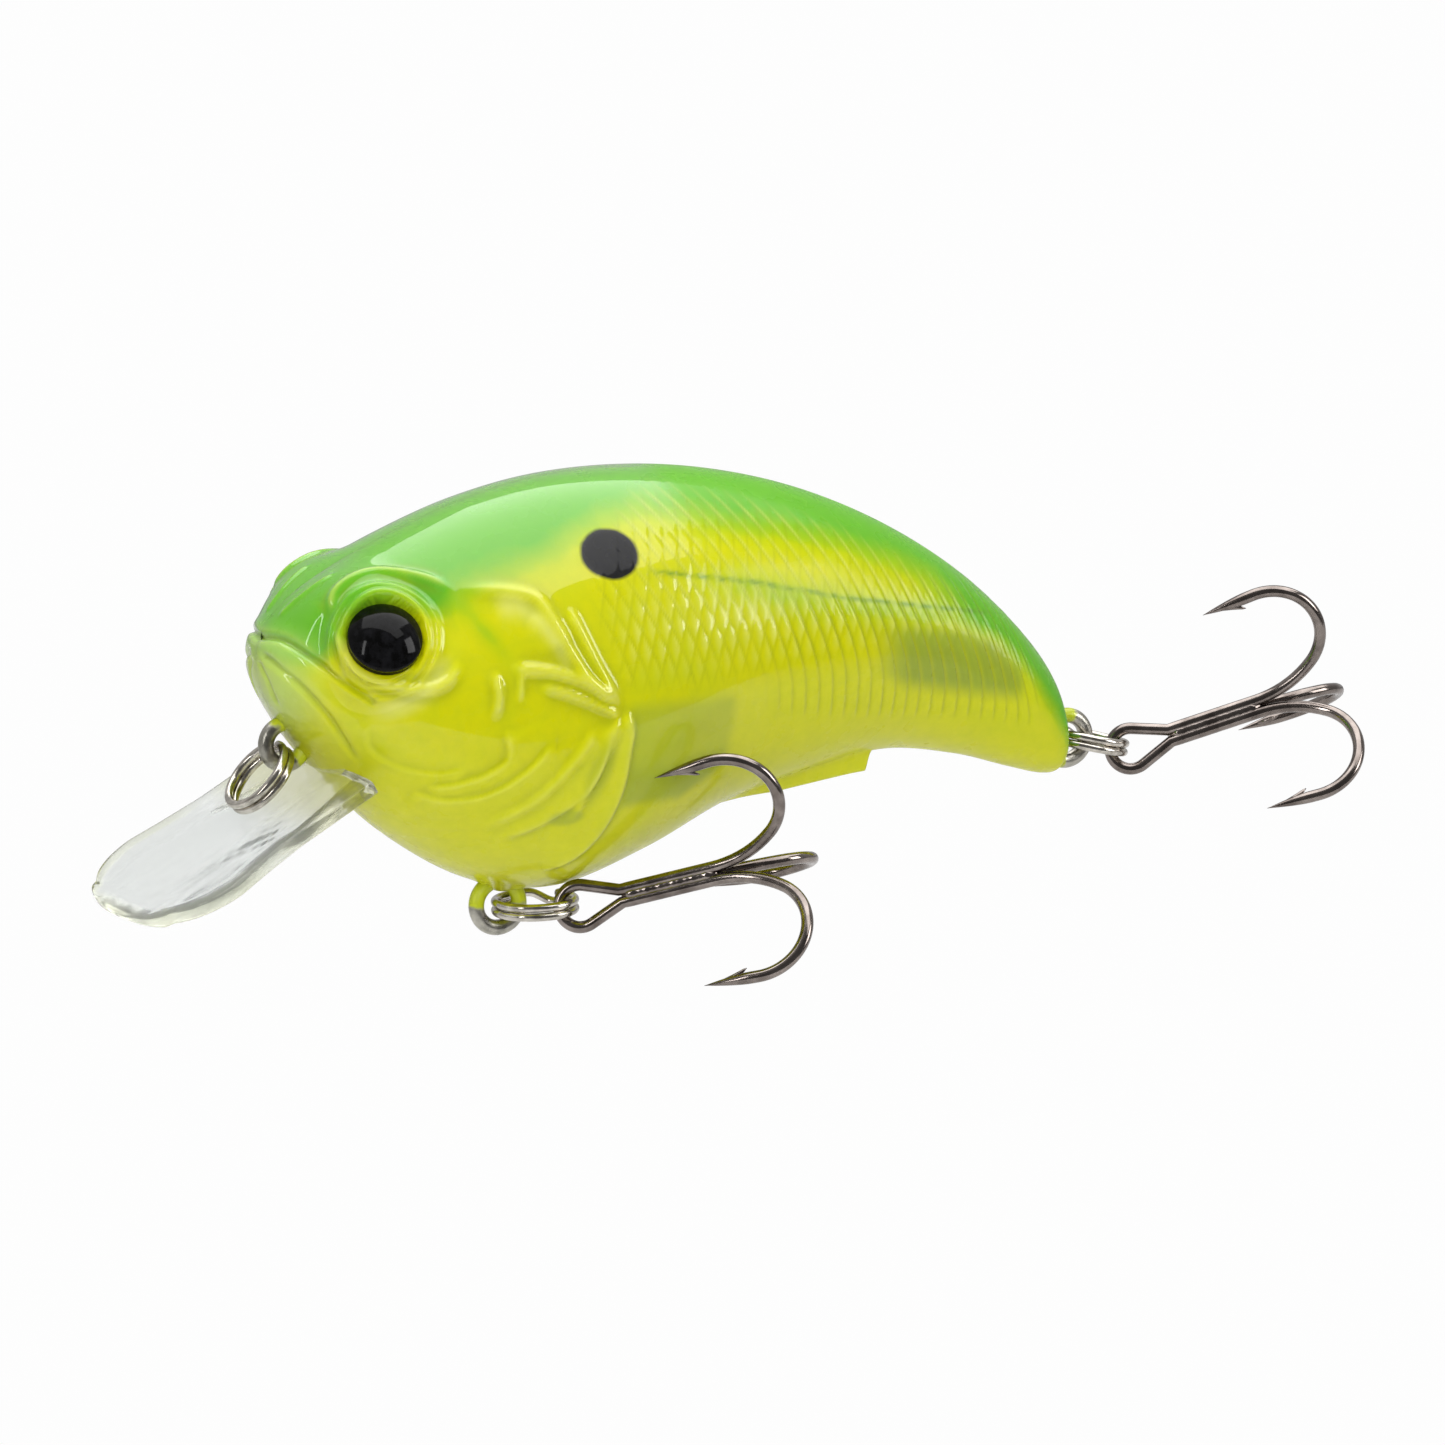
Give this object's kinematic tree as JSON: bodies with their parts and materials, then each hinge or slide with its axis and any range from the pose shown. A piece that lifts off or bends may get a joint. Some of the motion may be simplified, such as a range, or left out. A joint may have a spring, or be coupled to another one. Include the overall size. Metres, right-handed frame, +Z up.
{
  "type": "crankbait fishing lure",
  "caption": "Short fat-bodied shallow diving crankbait with a clear lip, domed eyes, internal weights and rattles, wire hangers, split rings and treble hooks.",
  "frame": {"origin": "centre of the line-tie wire eye under the nose, where the line's ring rides", "axes": "+X from the nose to the tail, +Z up through the back, -Y to the lure's left side"},
  "size_m": [0.0885, 0.0251, 0.0313],
  "materials": {
    "tinted_shell": "translucent moulded plastic, green back to yellow-green belly, under a gloss clear coat",
    "clear_lip": "clear polished polycarbonate with a faint green edge",
    "eye_disc": "black gloss foil",
    "eye_dome": "black gloss domed resin",
    "hanger_wire": "dull drawn stainless wire, with a little body paint near its roots",
    "nickel_ring": "bright nickel plate",
    "black_nickel_hook": "black nickel plate, mottled on the brazed shank",
    "steel_ball": "plain ground steel"
  },
  "bodies": {
    "lure": {"body_shell_left": "tinted_shell", "body_shell_right": "tinted_shell", "diving_lip": "clear_lip", "left_eye_disc": "eye_disc", "left_eye_dome": "eye_dome", "right_eye_disc": "eye_disc", "right_eye_dome": "eye_dome", "line_tie_wire": "hanger_wire", "belly_hanger_wire": "hanger_wire", "tail_hanger_wire": "hanger_wire", "ballast_ball": "steel_ball"},
    "line_ring": {"line_tie_ring": "nickel_ring"},
    "belly_ring": {"belly_ring": "nickel_ring"},
    "belly_hook": {"belly_double_hook": "black_nickel_hook", "belly_single_hook": "black_nickel_hook"},
    "tail_ring": {"tail_ring": "nickel_ring"},
    "tail_hook": {"tail_double_hook": "black_nickel_hook", "tail_single_hook": "black_nickel_hook"},
    "front_rattle": {"front_rattle_ball": "steel_ball"},
    "rear_rattle": {"rear_rattle_ball": "steel_ball"},
    "tail_rattle": {"tail_ball_front": "steel_ball", "tail_ball_rear": "steel_ball"}
  },
  "joints": [
    {"name": "line_ring_swing", "type": "hinge", "parent": "lure", "child": "line_ring", "pos_m": [0, 0, 0], "axis": [0, 1, 0], "range_deg": [0, 75]},
    {"name": "belly_ring_swing", "type": "hinge", "parent": "lure", "child": "belly_ring", "pos_m": [0.01466, 0, -0.01152], "axis": [0, 1, 0], "range_deg": [0, 130]},
    {"name": "belly_hook_swing", "type": "hinge", "parent": "belly_ring", "child": "belly_hook", "pos_m": [0.01655, -0.00153, -0.01146], "axis": [-0.0314, 0, 0.9995], "range_deg": [-60, 3]},
    {"name": "tail_ring_swing", "type": "hinge", "parent": "lure", "child": "tail_ring", "pos_m": [0.05628, 0, -0.00432], "axis": [0, 1, 0], "range_deg": [-60, 45]},
    {"name": "tail_hook_swing", "type": "hinge", "parent": "tail_ring", "child": "tail_hook", "pos_m": [0.05867, 0.00125, -0.00487], "axis": [0.225, 0, 0.9744], "range_deg": [-50, 110]},
    {"name": "front_rattle_slide", "type": "slide", "parent": "lure", "child": "front_rattle", "axis": [0, 1, 0], "range_m": [-0.0018, 0.0018]},
    {"name": "rear_rattle_slide", "type": "slide", "parent": "lure", "child": "rear_rattle", "axis": [0, 1, 0], "range_m": [-0.0018, 0.0018]},
    {"name": "tail_rattle_slide", "type": "slide", "parent": "lure", "child": "tail_rattle", "axis": [0.9703, 0, -0.2419], "range_m": [-0.0026, 0]}
  ]
}
